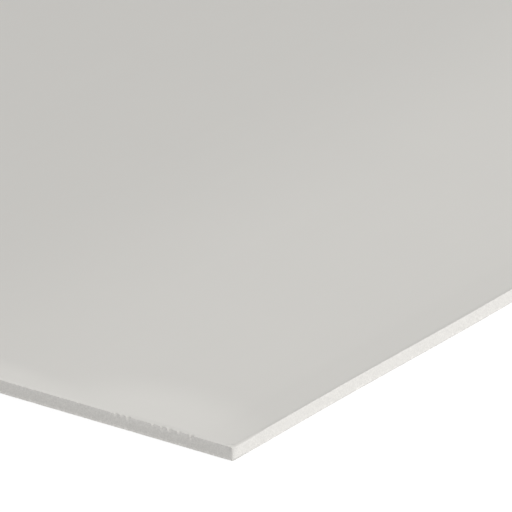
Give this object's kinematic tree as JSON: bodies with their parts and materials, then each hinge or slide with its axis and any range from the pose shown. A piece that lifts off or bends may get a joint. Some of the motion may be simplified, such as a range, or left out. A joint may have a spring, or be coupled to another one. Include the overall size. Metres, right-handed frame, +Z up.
{
  "type": "foam pvc sheet",
  "caption": "Flat rectangular sheet of rigid closed-cell foam PVC with smooth satin faces and square sawn edges.",
  "frame": {"origin": "middle of the lower face, on the surface that the sheet lies on", "axes": "+X along the sheet's length, +Y across its width, +Z up through its thickness"},
  "size_m": [1.2192, 0.6096, 0.006],
  "materials": {
    "foam_pvc": "satin"
  },
  "bodies": {
    "root": {"pvc_sheet": "foam_pvc"}
  },
  "joints": []
}
